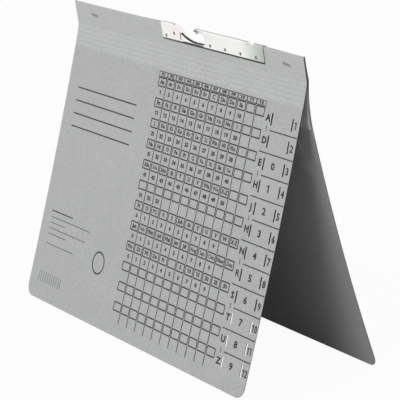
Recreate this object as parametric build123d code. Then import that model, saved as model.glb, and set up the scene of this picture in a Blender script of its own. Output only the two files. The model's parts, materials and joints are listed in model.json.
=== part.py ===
from build123d import *
import os
from dataclasses import dataclass
from math import atan2, cos, degrees, radians, sin

# A single-hook hanging file folder, standing open like a tent on its two lower edges.
# Millimetres. X runs along the fold, the front cover is on -Y, +Z is up, and the floor is Z = 0.
# The sheet is laid out in a raw frame first: the fold is on the X axis and the front leaf of the
# top band hangs straight down. One tilt then levels the two lower edges on the floor.

# Board sheet
width = 318.0                # length of the fold
height = 240.0               # developed, from the fold to the lower edge of a cover
board = 0.45                 # thickness of the board
corner_radius = 9.0          # lower corners of both covers

# Top band, the folded upper edge
band_height = 18.2           # from the fold to the first crease
fold_radius = 1.1            # to the middle of the board
pinch = 1.3                  # spacing of the two leaves at the first crease, middle to middle
crease_gap = 0.4             # room for the board to turn at the first crease

# Score lines below the first crease
score_first = 21.2           # from the fold to the first score line
score_pitch = 3.5
score_count = 5
score_hinges = 4             # score lines that the front cover folds at
score_gap = 0.3              # room for the board to turn at a score line
score_groove = 0.8           # width of a pressed score line
score_depth = 0.12

# How the covers stand: turns of the board, in degrees
front_crease_turn = 17.5
front_score_turn = 1.1
front_bow_turn = 2.9
back_crease_turn = 10.5
back_bend_turn = 16.0
back_bend_length = 35.0      # stretch of board that takes this turn
back_bow_turn = 6.0

# Tab slits through the front cover
slit_insets = (33.2, 8.4)    # from the right edge of the cover to each column
slit_first = 44.2            # from the fold to the top of the first slit
slit_pitch = 15.75
slit_length = 8.7
slit_width = 1.5
slit_end_margin = 11.0       # least board below the last slit

# Hook plate, a saddle of sheet steel over the fold
steel = 0.5
plate_left = -26.0           # left end, from the middle of the fold
plate_length = 136.2
plate_drop = 12.0            # how far its leaves hang down from the fold
plate_corner = 1.5
plate_clear = 0.05           # between the board and the steel
hook_x = 30.2                # middle of the round pocket that holds the rail
pocket_radius = 4.05
pocket_drop = 5.85           # from the fold down to the middle of the pocket
seat_flat = 8.4              # level stretch of the seat, left of the pocket
seat_run = 20.0              # curved stretch of the seat, left of the level one
seat_rise = 5.4
ramp_run = 11.0              # rounded ramp from the top edge down to the seat
beak_reach = 9.9             # from the middle of the pocket to the tip of the beak
nub_drop = 0.9               # how far the beak's nub hangs below the roof of the pocket
nub_width = 3.1              # from the tip of the beak to the low point of the nub
nub_slope = 2.4              # stretch over which the nub rises to the roof
nose_top = 1.0               # straight drop of the tip, from the fold to the rounded nose
nose_swell = 0.6
ramp_swell = 0.9             # how far the ramp stands out of a straight line
flap_left = 0.4              # steel folded down in front of the seat
flap_right = 32.0
flap_overhang = 0.7          # how far the flap reaches below the plate
flap_corner = 3.0
notch_inset = 12.9           # from the right end of the plate to the notch
notch_width = 7.9
notch_depth = 1.75
board_recess = 0.6           # the board is cut back this far behind the steel
clinch_inset = 10.25         # from the pocket and from the plate's right end to a clinch point
clinch_count = 4             # clinch points right of the pocket
clinch_drop = 8.85
clinch_left = ((-20.3, 9.1), (-8.4, 6.1))
clinch_radius = 1.3
clinch_tip_radius = 0.9
clinch_height = 0.35

# Wire staples through the top band
staple_inset = 29.5          # from the left end of the fold to the left staple
staple_share = 0.55          # place of the right staple between the plate and the end of the fold
staple_drop = 8.3
staple_crown = 9.3
staple_wire = 0.5            # thickness, both ways
staple_clear = 0.05
staple_skew = 11.0           # degrees out of line with the fold
staple_bend = 0.45
staple_clinch = 3.6          # length of each folded leg

# Filing strip on the inside of the back cover
strip_top = 20.7             # from the fold
strip_bottom = 51.5
strip_inset = 1.0            # from each end of the fold
strip_gap = 0.35             # room for the prong strip behind it

# Paper fastener on the filing strip
hole_spacing = 80.0
fastener_drop = 38.5         # from the fold to the middle of the fastener
prong_steel = 0.25
prong_width = 5.0
prong_bend = 0.3
prong_tongue = 24.0          # folded stretch of each tongue
prong_clear = 0.05
prong_slot = 0.8             # slot for a tongue, in the strip and in the bar
prong_slot_play = 0.6
bar_length = 112.0
bar_width = 8.4
bar_steel = 0.25
bar_room = 0.85              # height inside the channel
bar_mouth = 5.2              # opening between the lips
lock_length = 12.0
lock_place = 20.0            # from the middle of the bar to a locked slider
lock_side_play = 0.2
lock_plate = 0.4             # thickness of the slider inside the channel
lock_height_play = 0.08
lock_grip_width = 4.2
lock_grip_length = 8.0
lock_grip_height = 0.2       # how far the grip stands out of the channel
lock_ribs = 3

ABOVE = 5.0                  # how far cutting shapes reach past what they cut
THROUGH = 10.0               # depth of cuts that go right through both leaves of the band


@dataclass
class Run:
    """A stretch of board seen from its end: an arc, or a line where it has no turn.

    Angles are in degrees from straight down and positive towards +Y.
    """

    start: tuple
    angle: float
    length: float
    turn: float = 0.0

    def angle_at(self, along):
        return self.angle + self.turn * along / self.length

    def point(self, along, offset=0.0):
        """The point at a distance along the run, moved by offset towards +Y across the board."""
        begin = radians(self.angle)
        now = radians(self.angle_at(along))
        y, z = self.start
        if self.turn:
            radius = self.length / radians(self.turn)
            y += radius * (cos(begin) - cos(now))
            z -= radius * (sin(now) - sin(begin))
        else:
            y += along * sin(begin)
            z -= along * cos(begin)
        return (y + offset * cos(now), z + offset * sin(now))

    def rail(self, offset, first, last):
        """The edge along the run at an offset, from one distance to another."""
        ends = [self.point(along, offset) for along in (first, (first + last) / 2, last)]
        return ThreePointArc(*ends) if self.turn else Line(ends[0], ends[2])

    def place(self, along, offset=0.0, x=0.0):
        """A location on the run: its Z axis points back up the board, its Y axis across it."""
        y, z = self.point(along, offset)
        return Location((x, y, z)) * Rot(X=self.angle_at(along))

    def follow(self, turn_here, length, turn=0.0):
        """The next run, which starts where this one ends after a crease of turn_here degrees."""
        return Run(self.point(self.length), self.angle_at(self.length) + turn_here, length, turn)


def sheet(spans, near, far, length):
    """A sheet of board or steel along spans, each a run with its first and last distance."""
    near_rails = [run.rail(near, first, last) for run, first, last in spans]
    far_rails = [run.rail(far, first, last) for run, first, last in spans]
    ends = [
        Line(near_rails[0] @ 0, far_rails[0] @ 0),
        Line(near_rails[-1] @ 1, far_rails[-1] @ 1),
    ]
    return extrude(Plane.YZ * make_face(near_rails + far_rails + ends), amount=length / 2, both=True)


plate_right = plate_left + plate_length

# Layout of the sheet in the raw frame
back_lean = atan2(2 * fold_radius - pinch, band_height - fold_radius)
back_leaf_top = (fold_radius * (1 + cos(back_lean)), -fold_radius * (1 + sin(back_lean)))
back_leaf = Run(back_leaf_top, -degrees(back_lean), (band_height + back_leaf_top[1]) / cos(back_lean))
front_leaf = Run((0, -fold_radius), 0.0, band_height - fold_radius)

front_strips = [front_leaf.follow(-front_crease_turn, score_first - band_height)]
for _ in range(score_hinges - 1):
    front_strips.append(front_strips[-1].follow(-front_score_turn, score_pitch))
front_top = score_first + (score_hinges - 1) * score_pitch
front_run = front_strips[-1].follow(-front_score_turn, height - front_top, -front_bow_turn)

back_upper = Run(back_leaf.point(back_leaf.length), -back_crease_turn, back_bend_length, back_bend_turn)
back_lower = back_upper.follow(0.0, height - band_height - back_bend_length, back_bow_turn)

# The tilt that brings both lower edges to one level, and the shift that puts them on the floor
front_foot = front_run.point(front_run.length, board / 2)
back_foot = back_lower.point(back_lower.length, -board / 2)
tilt = degrees(atan2(front_foot[1] - back_foot[1], back_foot[0] - front_foot[0]))
level = Rot(X=tilt)


def levelled(point):
    return (level * Location((0, *point))).position


front_edge = levelled(front_run.point(front_run.length, -board / 2)).Y
back_edge = levelled(back_lower.point(back_lower.length, board / 2)).Y
stand = Location((0, -(front_edge + back_edge) / 2, -levelled(front_foot).Z)) * level


def round_lower_corners(cover):
    """Rounds the two corner edges at the free end of a cover."""
    corners = [
        edge
        for edge in cover.edges()
        if edge.length < 2 * board and abs(abs(edge.center().X) - width / 2) < board
    ]
    lowest = sorted(corners, key=lambda edge: edge.center().Z)[:2]
    return fillet(lowest, corner_radius)


def score_lines(runs, first_score):
    """Pressed grooves in the outer face, for the score lines from first_score on."""
    grooves = []
    for index in range(first_score, score_count):
        drop = score_first + index * score_pitch
        run, along, outside = runs(drop)
        grooves.append(run.place(along, outside) * Box(width + ABOVE, 2 * score_depth, score_groove))
    return grooves


def make_front_strip(index):
    """One narrow strip between two score lines; the first starts at the first crease."""
    run = front_strips[index]
    top_gap = crease_gap if index == 0 else score_gap
    return sheet([(run, top_gap / 2, run.length - score_gap / 2)], -board / 2, board / 2, width)


def make_front_cover():
    cover = sheet([(front_run, score_gap / 2, front_run.length)], -board / 2, board / 2, width)
    cover = round_lower_corners(cover)
    rows = 1 + int((height - slit_end_margin - slit_length - slit_first) / slit_pitch)
    for inset in slit_insets:
        for row in range(rows):
            along = slit_first + slit_length / 2 + row * slit_pitch - front_top
            slit = Box(slit_width, ABOVE, slit_length)
            cover -= front_run.place(along, x=width / 2 - inset) * slit
    for groove in score_lines(lambda drop: (front_run, drop - front_top, -board / 2), score_hinges):
        cover -= groove
    return cover


def make_back_cover():
    spans = [(back_upper, crease_gap / 2, back_bend_length), (back_lower, 0, back_lower.length)]
    cover = round_lower_corners(sheet(spans, -board / 2, board / 2, width))
    for groove in score_lines(lambda drop: (back_upper, drop - band_height, board / 2), 0):
        cover -= groove
    return cover


def saddle(near, far, drop, length, lean_end):
    """A folded sheet over the top: front leaf, fold and back leaf, between two offsets."""
    middle = Vector(fold_radius, -fold_radius)

    def around(radius, angle):
        return middle + Vector(radius * cos(angle), radius * sin(angle))

    def outline(offset):
        radius = fold_radius + offset
        half_way = (radians(180) - back_lean) / 2
        front = Line((-offset, -drop), (-offset, -fold_radius))
        fold = ThreePointArc(front @ 1, around(radius, half_way), around(radius, -back_lean))
        return [front, fold, Line(fold @ 1, back_leaf.point(lean_end, offset))]

    inner = outline(near)
    outer = outline(far)
    ends = [Line(inner[0] @ 0, outer[0] @ 0), Line(inner[2] @ 1, outer[2] @ 1)]
    return extrude(Plane.YZ * make_face(inner + outer + ends), amount=length / 2, both=True)


def hook_outline():
    """The hook's opening, in X and Z: ramp, curved seat, round pocket, roof and beak."""
    seat = -(pocket_drop + pocket_radius)
    roof = -(pocket_drop - pocket_radius)
    level_start = hook_x - seat_flat
    seat_start = Vector(level_start - seat_run, seat + seat_rise)
    mouth_left = seat_start.X - ramp_run
    tip = hook_x - beak_reach
    seat_radius = (seat_run ** 2 + seat_rise ** 2) / (2 * seat_rise)
    half_angle = atan2(seat_run, seat_radius - seat_rise) / 2
    seat_middle = (
        level_start - seat_radius * sin(half_angle),
        seat + seat_radius * (1 - cos(half_angle)),
    )
    nub = (tip + nub_width, roof - nub_drop)
    nub_end = (tip + nub_width + nub_slope, roof)
    edges = [
        Line((mouth_left, ABOVE), (mouth_left, 0)),
        SagittaArc((mouth_left, 0), seat_start, ramp_swell),
        ThreePointArc(seat_start, seat_middle, (level_start, seat)),
        Line((level_start, seat), (hook_x, seat)),
        ThreePointArc((hook_x, seat), (hook_x + pocket_radius, -pocket_drop), (hook_x, roof)),
        Line((hook_x, roof), nub_end),
        Line(nub_end, nub),
        SagittaArc(nub, (tip, -nose_top), -nose_swell),
        Line((tip, -nose_top), (tip, ABOVE)),
        Line((tip, ABOVE), (mouth_left, ABOVE)),
    ]
    return make_face(edges)


def through_band(outline):
    """Extrudes an outline in X and Z right through both leaves of the band."""
    return extrude(Plane.XZ * outline, amount=THROUGH, both=True)


def notch_outline(margin):
    notch_middle = plate_right - notch_inset - notch_width / 2
    across = notch_width + 2 * margin
    deep = notch_depth + margin + ABOVE
    return Pos(notch_middle, ABOVE - deep / 2) * Rectangle(across, deep)


def staple_place(side):
    """The middle of a staple's crown line, in the plane of the front leaf; side is 0 or 1."""
    x = plate_right + staple_share * (width / 2 - plate_right) if side else staple_inset - width / 2
    return Location((x, 0, -staple_drop)) * Rot(Y=staple_skew)


def staple_span():
    """How far the crown lies in front of the leaf's middle, and the folded legs behind it."""
    stand_off = board / 2 + staple_clear + staple_wire / 2
    reach = staple_crown * sin(radians(staple_skew)) / 2
    behind = back_leaf.point(staple_drop - reach + back_leaf_top[1], stand_off)[0]
    return -stand_off, behind


def make_staple(side):
    crown, behind = staple_span()
    half = staple_crown / 2
    fold = half - staple_clinch
    path = FilletPolyline(
        (-fold, behind), (-half, behind), (-half, crown), (half, crown), (half, behind), (fold, behind),
        radius=staple_bend,
    )
    return staple_place(side) * extrude(trace(path, staple_wire), amount=staple_wire / 2, both=True)


def make_top_band():
    lean_end = back_leaf.length - crease_gap / 2
    band = saddle(-board / 2, board / 2, band_height - crease_gap / 2, width, lean_end)
    band -= through_band(offset(hook_outline(), board_recess))
    band -= through_band(notch_outline(board_recess))
    leg = staple_wire + 2 * staple_clear
    leg_hole = Box(leg, 2 * THROUGH, leg)
    for side in (0, 1):
        for end in (-staple_crown / 2, staple_crown / 2):
            band -= staple_place(side) * Pos(end, 0, 0) * leg_hole
    return band


def make_hook_plate():
    inner = board / 2 + plate_clear
    outer = inner + steel
    lean_end = plate_drop + back_leaf_top[1]
    plate_middle = plate_left + plate_length / 2
    leaves = Pos(plate_middle) * saddle(inner, outer, plate_drop, plate_length, lean_end)
    outline = Pos(plate_middle, (ABOVE - plate_drop) / 2) * Rectangle(plate_length, plate_drop + ABOVE)
    leaves &= through_band(fillet(outline.vertices().group_by(Axis.Y)[0], plate_corner))

    flap_bottom = -plate_drop - flap_overhang
    flap_middle = (flap_left + flap_right) / 2
    flap = Pos(flap_middle, flap_bottom / 2) * Rectangle(flap_right - flap_left, -flap_bottom)
    flap = fillet(flap.vertices().group_by(Axis.Y)[0], flap_corner)
    leaves += Pos(0, -outer) * extrude(Plane.XZ * flap, amount=steel)

    points = list(clinch_left)
    first_clinch = hook_x + clinch_inset
    clinch_pitch = (plate_right - clinch_inset - first_clinch) / (clinch_count - 1)
    points += [(first_clinch + index * clinch_pitch, clinch_drop) for index in range(clinch_count)]
    for x, drop in points:
        stud = Cone(clinch_radius, clinch_tip_radius, clinch_height, rotation=(90, 0, 0))
        leaves += Pos(x, -outer - clinch_height / 2, -drop) * stud
    leaves -= through_band(hook_outline())
    leaves -= through_band(notch_outline(0))
    return leaves


def strip_face():
    """Offset from the middle of the back cover to the back of the filing strip."""
    return -(board / 2 + strip_gap)


def fastener_place():
    """On the inner face of the filing strip: -Y points away from it, +Z up along the board."""
    return back_upper.place(fastener_drop - band_height, strip_face() - board)


def make_filing_strip():
    split = back_bend_length + band_height
    first = strip_top - band_height
    spans = [(back_upper, first, min(strip_bottom, split) - band_height)]
    if strip_bottom > split:
        spans.append((back_lower, 0, strip_bottom - split))
    strip = sheet(spans, strip_face() - board, strip_face(), width - 2 * strip_inset)
    for x in (-hole_spacing / 2, hole_spacing / 2):
        slot = Box(prong_slot, ABOVE, prong_width + prong_slot_play)
        strip -= fastener_place() * Pos(x, 0, 0) * slot
    return strip


def make_prong_strip():
    """One bent ribbon: base behind the strip, up through the slots, tongues folded inwards."""
    half = hole_spacing / 2
    base = board + strip_gap / 2
    tongue = -(prong_clear + bar_steel + prong_clear + prong_steel / 2)
    path = FilletPolyline(
        (-half + prong_tongue, tongue), (-half, tongue), (-half, base),
        (half, base), (half, tongue), (half - prong_tongue, tongue),
        radius=prong_bend,
    )
    ribbon = extrude(trace(path, prong_steel), amount=prong_width / 2, both=True)
    return fastener_place() * ribbon


def make_cover_bar():
    """A channel with lips, open towards the front cover, drawn in Y and Z."""
    depth = 2 * bar_steel + bar_room
    middle = -prong_clear - depth / 2
    section = Pos(middle, 0) * Rectangle(depth, bar_width)
    section -= Pos(middle, 0) * Rectangle(bar_room, bar_width - 2 * bar_steel)
    section -= Pos(-prong_clear - depth, 0) * Rectangle(bar_room, bar_mouth)
    bar = extrude(Plane.YZ * section, amount=bar_length / 2, both=True)
    for x in (-hole_spacing / 2, hole_spacing / 2):
        slot = Box(prong_slot, 2 * (prong_clear + bar_steel), prong_width + prong_slot_play)
        bar -= Pos(x, 0, 0) * slot
    return fastener_place() * bar


def make_lock(side):
    """A slider inside the channel, over the end of a tongue; side is -1 or 1."""
    roof = -(prong_clear + bar_steel + bar_room)
    top = roof + lock_height_play
    plate_width = bar_width - 2 * bar_steel - 2 * lock_side_play
    slider = Pos(0, top + lock_plate / 2, 0) * Box(lock_length, lock_plate, plate_width)
    grip_top = roof - bar_steel - lock_grip_height
    grip = Box(lock_grip_length, top - grip_top, lock_grip_width)
    slider += Pos(0, (top + grip_top) / 2, 0) * grip
    groove_pitch = lock_grip_length / (lock_ribs + 1)
    for index in range(lock_ribs):
        x = (index - (lock_ribs - 1) / 2) * groove_pitch
        groove = Box(groove_pitch / 2, lock_grip_height, lock_grip_width + ABOVE)
        slider -= Pos(x, grip_top, 0) * groove
    return fastener_place() * Pos(side * lock_place, 0, 0) * slider


nodes = {"top_band": make_top_band()}
for index in range(score_hinges):
    nodes[f"front_strip_{index + 1}"] = make_front_strip(index)
nodes["front_cover"] = make_front_cover()
nodes["back_cover"] = make_back_cover()
nodes["hook_plate"] = make_hook_plate()
nodes["left_staple"] = make_staple(0)
nodes["right_staple"] = make_staple(1)
nodes["filing_strip"] = make_filing_strip()
nodes["prong_strip"] = make_prong_strip()
nodes["cover_bar"] = make_cover_bar()
nodes["left_lock"] = make_lock(-1)
nodes["right_lock"] = make_lock(1)

os.makedirs("parts", exist_ok=True)
for name, solid in nodes.items():
    export_step(stand * solid, f"parts/{name}.step")

# Joint axes in the standing frame, all along X
pivots = {"first crease, front": front_leaf.point(front_leaf.length)}
pivots["first crease, back"] = back_leaf.point(back_leaf.length)
for index, run in enumerate(front_strips):
    pivots[f"score line {index + 1}"] = run.point(run.length)
pivots["hook pocket"] = (0, -pocket_drop)
for name, point in pivots.items():
    spot = (stand * Location((0, *point))).position
    print(f"{name}: y {spot.Y:.3f}, z {spot.Z:.3f}")
print(f"tilt {tilt:.3f} degrees")
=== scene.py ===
# %% [markdown]
# # A hanging file folder of grey board
#
# The folder is one sheet of board, folded over at the top, with a steel hook plate on the fold.
# The CAD model gives the frame: where everything is, and how it moves.
# This file gives the looks. It cuts the board flat and folds it, as the maker does,
# prints the front, finishes the steel, and sets up a plain studio.

import json
import math

import bmesh
import bpy
from mathutils import Matrix, Vector


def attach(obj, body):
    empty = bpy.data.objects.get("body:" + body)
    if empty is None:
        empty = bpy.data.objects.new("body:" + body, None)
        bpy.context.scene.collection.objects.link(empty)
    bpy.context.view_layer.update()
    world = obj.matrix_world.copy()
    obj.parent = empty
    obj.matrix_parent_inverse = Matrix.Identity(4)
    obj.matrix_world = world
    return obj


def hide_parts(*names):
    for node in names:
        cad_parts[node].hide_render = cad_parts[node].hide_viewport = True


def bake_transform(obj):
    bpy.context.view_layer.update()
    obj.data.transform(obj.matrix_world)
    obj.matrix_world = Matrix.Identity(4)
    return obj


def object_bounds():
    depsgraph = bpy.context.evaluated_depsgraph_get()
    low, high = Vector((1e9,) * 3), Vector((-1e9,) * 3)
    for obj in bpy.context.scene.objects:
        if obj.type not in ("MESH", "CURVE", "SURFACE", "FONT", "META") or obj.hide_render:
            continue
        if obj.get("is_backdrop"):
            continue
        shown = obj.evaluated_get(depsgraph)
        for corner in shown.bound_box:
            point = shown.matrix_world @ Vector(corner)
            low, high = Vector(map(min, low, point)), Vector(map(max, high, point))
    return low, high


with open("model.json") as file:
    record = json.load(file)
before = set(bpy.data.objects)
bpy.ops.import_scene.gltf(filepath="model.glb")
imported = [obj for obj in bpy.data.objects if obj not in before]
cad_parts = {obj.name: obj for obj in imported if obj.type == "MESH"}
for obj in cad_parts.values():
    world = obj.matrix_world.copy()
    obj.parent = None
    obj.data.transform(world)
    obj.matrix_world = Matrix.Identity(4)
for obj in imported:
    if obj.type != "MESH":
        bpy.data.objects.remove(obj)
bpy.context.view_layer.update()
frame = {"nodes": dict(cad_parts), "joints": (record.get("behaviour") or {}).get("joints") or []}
MM = 0.001

# %% [markdown]
# ## Materials as plain maths
#
# Shader nodes are easier to read as sums and products.
# A small class wraps one socket, so that two of them can be added or multiplied,
# and one method adds any other kind of node.


# %% A socket that can be calculated with
class Wire:
    """One output in a node tree."""

    def __init__(self, tree, socket=None):
        self.tree = tree
        self.socket = socket

    def put(self, made, key, value):
        """Links or sets one input of a node."""
        if isinstance(value, Wire):
            self.tree.links.new(value.socket, made.inputs[key])
        else:
            made.inputs[key].default_value = value

    def node(self, kind, settings=None, values=None, output=0):
        """Adds a node: first its settings, then its sockets; gives back one of its outputs."""
        made = self.tree.nodes.new(kind)
        for name, value in (settings or {}).items():
            setattr(made, name, value)
        for key, value in (values or {}).items():
            self.put(made, key, value)
        return Wire(self.tree, made.outputs[output])

    def math(self, operation, first, second=0.0):
        return self.node("ShaderNodeMath", {"operation": operation}, {0: first, 1: second})

    def __add__(self, other):
        return self.math("ADD", self, other)

    __radd__ = __add__

    def __sub__(self, other):
        return self.math("SUBTRACT", self, other)

    def __rsub__(self, other):
        return self.math("SUBTRACT", other, self)

    def __mul__(self, other):
        return self.math("MULTIPLY", self, other)

    def __abs__(self):
        return self.math("ABSOLUTE", self)

    def ramp(self, low, high):
        """0 below low, 1 above high, and smooth between them."""
        values = {"Value": self, "From Min": low, "From Max": high}
        return self.node("ShaderNodeMapRange", {"interpolation_type": "SMOOTHSTEP"}, values)

    def mix(self, dark, light):
        """A colour from dark to light, by this value."""
        values = {0: self, 6: dark, 7: light}
        return self.node("ShaderNodeMix", {"data_type": "RGBA"}, values, output=2)

    def along(self, axis):
        """One of the three numbers of a place or direction."""
        return self.node("ShaderNodeSeparateXYZ", values={"Vector": self}, output=axis)


print("sockets can be calculated with")


# %% A new material, with its object coordinates at hand
def new_material(name):
    """A material, its Principled node, and a Wire with the place on the object in metres."""
    material = bpy.data.materials.new(name)
    material.use_nodes = True
    shader = material.node_tree.nodes["Principled BSDF"]
    place = Wire(material.node_tree).node("ShaderNodeTexCoord", output="Object")
    return material, shader, place


def feed(shader, **values):
    """Links or sets the inputs of a Principled node; spaces are written as underscores."""
    wire = Wire(shader.id_data)
    for name, value in values.items():
        wire.put(shader, name.replace("_", " "), value)


def noise(place, per_metre, detail=2.0):
    """Noise around 0.5 with about so many lumps in a metre."""
    values = {"Vector": place, "Scale": per_metre, "Detail": detail}
    return place.node("ShaderNodeTexNoise", values=values)


def stretched_noise(place, per_metre, detail=2.0):
    """Noise with a number of lumps in a metre of its own along each axis."""
    values = {"Vector": place, "Scale": per_metre}
    return noise(place.node("ShaderNodeMapping", values=values), 1.0, detail)


def between(value, rise, fall):
    """1 in the middle of a range that begins over rise and ends over fall."""
    return value.ramp(*rise) * (1.0 - value.ramp(*fall))


def scaled(colour, share):
    """A colour made darker or lighter, with its alpha."""
    return [channel * share for channel in colour] + [1.0]


print("materials start from a Principled node")

# %% [markdown]
# ## The folded line
#
# Seen from its end, the board is one line: down the band, out at the crease,
# a little further out at each score line, then a long slow bow to the lower edge.
# The creases are where the CAD joints are. The line is walked in very short steps,
# and it turns evenly over a short way at each crease, because board can't bend sharply.

# %% Sizes of the board, in millimetres, and the turns of both sides, in degrees
WIDTH = 318.0
HEIGHT = 240.0
BOARD = 0.45
CREASE = 18.2
SCORES = [21.2, 24.7, 28.2, 31.7, 35.2]
FOLDING_SCORES = SCORES[:4]
CREASE_BEND = 1.5
SCORE_BEND = 0.9
TILT = 7.747
LEAN = 3.013
FRONT_CREASE_TURN = -17.5
SCORE_TURN = -1.1
FRONT_BOW = -2.9
BACK_CREASE_TURN = LEAN - 10.5
BACK_ROLL = 16.0
BACK_ROLL_LENGTH = 35.0
BACK_BOW = 6.0

bow_start = FOLDING_SCORES[-1]
roll_end = CREASE + BACK_ROLL_LENGTH
front_turns = [(CREASE, CREASE_BEND, FRONT_CREASE_TURN)]
front_turns += [(score, SCORE_BEND, SCORE_TURN) for score in FOLDING_SCORES]
front_turns += [((bow_start + HEIGHT) / 2, HEIGHT - bow_start, FRONT_BOW)]
back_turns = [
    (CREASE, CREASE_BEND, BACK_CREASE_TURN),
    (CREASE + BACK_ROLL_LENGTH / 2, BACK_ROLL_LENGTH, BACK_ROLL),
    ((roll_end + HEIGHT) / 2, HEIGHT - roll_end, BACK_BOW),
]
print("turns in the front and the back line:", len(front_turns), "and", len(back_turns))

# %% Walk both lines
STEP = 0.05
LEAD = 10.0
OVERRUN = 1.0


def clamp(value):
    return min(max(value, 0.0), 1.0)


class Line:
    """The middle of the board from above a crease to a lower edge, as points a step apart."""

    def __init__(self, crease, angle, turns, inside):
        self.inside = inside
        self.first = CREASE - LEAD
        start = math.radians(angle)
        y = crease[1] / MM - LEAD * math.sin(start)
        z = crease[2] / MM + LEAD * math.cos(start)
        self.points = []
        for index in range(int((HEIGHT + OVERRUN - self.first) / STEP)):
            now = start + math.radians(self.turned(turns, self.first + (index + 0.5) * STEP))
            self.points.append((y, z, now))
            y += STEP * math.sin(now)
            z -= STEP * math.cos(now)

    def turned(self, turns, place):
        """How far the line has turned at a place, in degrees."""
        shares = [(turn, (place - middle) / length + 0.5) for middle, length, turn in turns]
        return sum(turn * clamp(share) for turn, share in shares)

    def at(self, flat):
        """Where a point of the flat board goes; flat is across, down from the fold, and inwards."""
        steps = (flat.y - self.first) / STEP
        index = min(max(int(steps), 0), len(self.points) - 1)
        y, z, now = self.points[index]
        along = (steps - index) * STEP
        y += along * math.sin(now) + self.inside * flat.z * math.cos(now)
        z += -along * math.cos(now) + self.inside * flat.z * math.sin(now)
        return Vector((flat.x, y, z)) * MM

    def middle(self, drop):
        """The middle of the board at a distance down from the fold."""
        return self.at(Vector((0.0, drop, 0.0)))


joint_places = {joint["name"]: joint.get("pos_m") for joint in frame["joints"]}
front_line = Line(joint_places["front_crease"], TILT, front_turns, 1.0)
back_line = Line(joint_places["back_crease"], TILT - LEAN, back_turns, -1.0)
for line_name, line in (("front", front_line), ("back", back_line)):
    print(line_name, "lower edge in mm:", [round(c / MM, 2) for c in line.middle(HEIGHT)])

# %% [markdown]
# ## Grey board
#
# Solid grey board is pressed from recycled fibre. It is matt, never quite even,
# and close up it has small darker fibres.
# Three sizes of noise make that: clouds of some centimetres, a mottle of about a millimetre,
# and single fibres, which come from noise that is stretched along the sheet.
# The band and the scored strips are a little lighter, down to the last score line.
# The score lines themselves are darker, partly the denser pressed board and partly painted shade of
# the grooves.
# Its cut ends are painted dark as shade, most of all at the fold, and so are the walls of its punched
# slits.

# %% Painted shade on the board: score lines, cut ends and slit walls
SCORE_SHADE_REACH = 0.95
END_SHADE_DROP = (60.0, 19.0)
END_SHADE_LEAST = 0.3
END_SKIN = (0.06, 0.03)
WALL_FACING = (0.5, 0.7)


def heights_at(drops):
    """How high the front's board is at some distances down from the fold."""
    return [front_line.middle(drop).z for drop in drops]


def score_marks(height):
    """1 in the middle of each score line, fading out above and below it; there the board is darker,
    partly as painted shade of the groove.
    """
    reach = SCORE_SHADE_REACH * MM
    lines = heights_at(SCORES)
    return sum(between(height, (line - reach, line), (line, line + reach)) for line in lines)


def soiled_ends(across, height):
    """How dark the cut ends of the board are painted, as shade: darkest at the fold, whose narrow
    inside lies in deep shade.
    """
    on_end = abs(across).ramp(*[(WIDTH / 2 - skin) * MM for skin in END_SKIN])
    near_fold = height.ramp(*heights_at(END_SHADE_DROP))
    return on_end * (END_SHADE_LEAST + near_fold * (1.0 - END_SHADE_LEAST))


def sideways_walls(place):
    """1 where the board's surface looks along the fold, as the walls of the slits do; there it is
    painted dark as shade.
    """
    facing = place.node("ShaderNodeTexCoord", output="Normal")
    return abs(facing.along("X")).ramp(*WALL_FACING)


print("score lines, in mm above the floor:", [round(z / MM, 1) for z in heights_at(SCORES)])

# %% Grey board
CLOUDS_PER_METRE = 22.0
CLOUD_SHARE = 0.25
MOTTLE_PER_METRE = 620.0
MOTTLE_SHARE = 1.1
FIBRES_PER_METRE = (900.0, 2600.0, 2600.0)
FIBRE_RANGE = (0.68, 0.8)
FIBRE_SHARE = 0.3
GRAIN_PER_METRE = 1800.0
GRAIN = {"Strength": 0.25, "Distance": 0.04 * MM}
LIGHTER_TOP_DROP = (36.6, 35.4)
LIGHTER_TOP_SHARE = 0.33
SCORE_SHADE_SHARE = 0.17
WALL_SHADE_SHARE = 0.9
PAINTED_SHADE = (0.07, 0.07, 0.068, 1.0)
SHADE_SHARES = (0.8, 1.2)
FAINT_SHINE = 0.2
COVER_GREY = (0.447, 0.456, 0.450)
STRIP_GREY = (0.60, 0.60, 0.58)


def board_material(name, grey, scored):
    material, shader, place = new_material(name)
    height = place.along("Z")
    clouds = noise(place, CLOUDS_PER_METRE) - 0.5
    mottle = noise(place, MOTTLE_PER_METRE, detail=3.0) - 0.5
    fibres = stretched_noise(place, FIBRES_PER_METRE, detail=1.0).ramp(*FIBRE_RANGE)
    shade = 0.5 + clouds * CLOUD_SHARE + mottle * MOTTLE_SHARE - fibres * FIBRE_SHARE
    if scored:
        # Lighter down to the last score line, and darker in the score lines, partly as painted shade
        # of the pressed grooves.
        lighter_top = height.ramp(*heights_at(LIGHTER_TOP_DROP))
        shade = shade + lighter_top * LIGHTER_TOP_SHARE - score_marks(height) * SCORE_SHADE_SHARE
    dark, light = [scaled(grey, share) for share in SHADE_SHARES]
    tint = shade.mix(dark, light)
    if scored:
        # Painted shade on the cut ends, darkest at the fold.
        tint = soiled_ends(place.along("X"), height).mix(tint, PAINTED_SHADE)
        # Painted shade on the walls of the slits.
        tint = (sideways_walls(place) * WALL_SHADE_SHARE).mix(tint, PAINTED_SHADE)
    grain_height = noise(place, GRAIN_PER_METRE, detail=3.0)
    grain = place.node("ShaderNodeBump", values={**GRAIN, "Height": grain_height})
    feed(shader, Base_Color=tint, Roughness=0.92, Normal=grain)
    feed(shader, Specular_IOR_Level=FAINT_SHINE)
    return material


cover_board = board_material("grey board", COVER_GREY, scored=True)
filing_board = board_material("light grey board", STRIP_GREY, scored=False)
print("two boards, the covers' and the filing strip's")

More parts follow.
